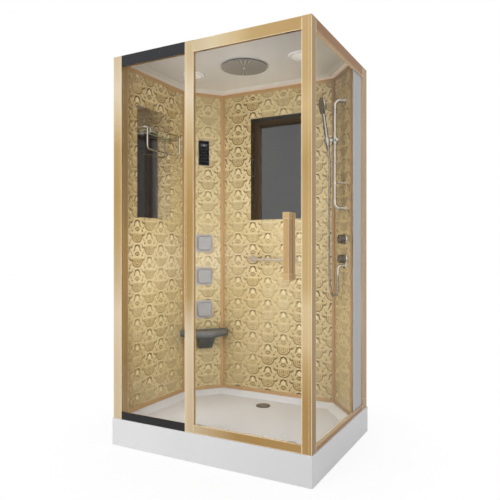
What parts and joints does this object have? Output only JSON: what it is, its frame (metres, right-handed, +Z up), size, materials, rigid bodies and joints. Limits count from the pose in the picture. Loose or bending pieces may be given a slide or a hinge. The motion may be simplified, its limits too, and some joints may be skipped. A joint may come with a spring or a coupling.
{
  "type": "shower cabin",
  "caption": "Rectangular shower cabin with a gold frame, sliding glass door, damask wall panels, body jets, corner seat, hand shower and overhead shower",
  "frame": {"origin": "on the floor, under the middle of the tray", "axes": "+X along the front to the right seen from outside, +Y to the back, +Z up"},
  "size_m": [1.2, 0.9, 2.192],
  "materials": {
    "gloss_white": "white acrylic with a high gloss",
    "steel": "zinc-grey steel",
    "chrome": "polished chrome plate on metal",
    "chrome_trim": "chrome-plated moulding",
    "grey_plastic": "moulded grey plastic",
    "gold_frame": "gold anodised, brushed along the extrusion",
    "clear_glass": "clear toughened glass",
    "black_enamel": "black enamelled glass strip",
    "grey_panel": "grey sheet with a soft gloss",
    "damask_panel": "cream panel with a printed metallic damask pattern",
    "mirror": "silvered mirror",
    "gloss_roof": "white acrylic",
    "lamp_lens": "frosted diffuser",
    "nozzle_rubber": "soft grey rubber",
    "gloss_grey": "dark grey gloss",
    "dark_glass": "black glass",
    "satin_grey": "moulding with a satin metal coat",
    "dark_seat": "dark grey satin plastic",
    "hose_steel": "rubber hose in a wound steel strip",
    "brass": "cast brass",
    "stainless": "stainless steel",
    "roller_plastic": "white nylon",
    "clear_seal": "translucent flexible plastic"
  },
  "bodies": {
    "cabin": {"tray": "gloss_white", "tray_frame": "steel", "tray_feet": "steel", "drain_flange": "chrome", "drain_cover": "chrome", "drain_trap": "grey_plastic", "front_left_post": "gold_frame", "middle_post": "gold_frame", "front_right_post": "gold_frame", "rear_posts": "gold_frame", "front_top_rail": "gold_frame", "front_bottom_rail": "gold_frame", "right_top_rail": "gold_frame", "right_bottom_rail": "gold_frame", "outer_rails": "gold_frame", "fixed_glass": "clear_glass", "fixed_glass_bands": "black_enamel", "side_glass": "clear_glass", "side_filler_panel": "grey_panel", "left_wall_panel": "damask_panel", "left_corner_panel": "damask_panel", "back_wall_panel": "damask_panel", "right_corner_panel": "damask_panel", "wall_trim_strips": "gold_frame", "left_wall_mirror": "mirror", "back_wall_mirror": "mirror", "roof_panel": "gloss_roof", "light_bezels": "gloss_white", "light_lenses": "lamp_lens", "overhead_shower_arm": "chrome", "overhead_shower_head": "chrome_trim", "overhead_nozzle_plate": "nozzle_rubber", "control_panel_housing": "gloss_grey", "control_panel_glass": "dark_glass", "jet_sockets": "chrome", "corner_seat": "dark_seat", "glass_shelf": "clear_glass", "shelf_gallery": "chrome", "towel_rail": "chrome", "back_grab_bar": "chrome", "riser_rod": "chrome", "riser_brackets": "chrome", "shower_hose": "hose_steel", "mixer_valve": "brass", "mixer_trim": "chrome"},
    "door": {"door_glass": "clear_glass", "door_handle": "gold_frame", "door_hangers": "stainless", "door_guides": "grey_plastic", "door_seals": "clear_seal"},
    "left_roller_body": {"left_roller": "roller_plastic"},
    "right_roller_body": {"right_roller": "roller_plastic"},
    "slider": {"rod_slider": "chrome_trim"},
    "handset": {"handset_holder": "chrome_trim", "hand_shower": "chrome_trim"},
    "flow_knob_body": {"flow_knob": "chrome_trim"},
    "temperature_knob_body": {"temperature_knob": "chrome_trim"},
    "jet_upper_body": {"jet_face_upper": "satin_grey"},
    "jet_middle_body": {"jet_face_middle": "satin_grey"},
    "jet_lower_body": {"jet_face_lower": "satin_grey"}
  },
  "joints": [
    {"name": "door_slide", "type": "slide", "parent": "cabin", "child": "door", "axis": [-1, 0, 0], "range_m": [0, 0.43]},
    {"name": "left_roller_turn", "type": "hinge", "parent": "door", "child": "left_roller_body", "pos_m": [-0.028, -0.412, 2.1443], "axis": [0, -1, 0], "continuous": true},
    {"name": "right_roller_turn", "type": "hinge", "parent": "door", "child": "right_roller_body", "pos_m": [0.466, -0.412, 2.1443], "axis": [0, -1, 0], "continuous": true},
    {"name": "slider_height", "type": "slide", "parent": "cabin", "child": "slider", "axis": [0, 0, 1], "range_m": [-0.2, 0.15], "deforming": ["shower_hose"]},
    {"name": "handset_tilt", "type": "hinge", "parent": "slider", "child": "handset", "pos_m": [0.44372, 0.23069, 1.727], "axis": [0.633, -0.7741, 0], "range_deg": [-12, 20], "deforming": ["shower_hose"]},
    {"name": "flow_knob_turn", "type": "hinge", "parent": "cabin", "child": "flow_knob_body", "pos_m": [0.49481, 0.27247, 1.154], "axis": [-0.7741, -0.633, 0], "range_deg": [0, 90]},
    {"name": "temperature_knob_turn", "type": "hinge", "parent": "cabin", "child": "temperature_knob_body", "pos_m": [0.49481, 0.27247, 1.039], "axis": [-0.7741, -0.633, 0], "range_deg": [-60, 60]},
    {"name": "jet_upper_tilt", "type": "hinge", "parent": "cabin", "child": "jet_upper_body", "pos_m": [-0.47976, 0.30667, 1.136], "axis": [0.633, 0.7741, 0], "range_deg": [-12, 12]},
    {"name": "jet_middle_tilt", "type": "hinge", "parent": "cabin", "child": "jet_middle_body", "pos_m": [-0.47976, 0.30667, 0.914], "axis": [0.633, 0.7741, 0], "range_deg": [-12, 12]},
    {"name": "jet_lower_tilt", "type": "hinge", "parent": "cabin", "child": "jet_lower_body", "pos_m": [-0.47976, 0.30667, 0.692], "axis": [0.633, 0.7741, 0], "range_deg": [-12, 12]}
  ],
  "couplings": [
    {"joint": "left_roller_turn", "follows": "door_slide", "rad_per_m": 111.11},
    {"joint": "right_roller_turn", "follows": "door_slide", "rad_per_m": 111.11}
  ]
}
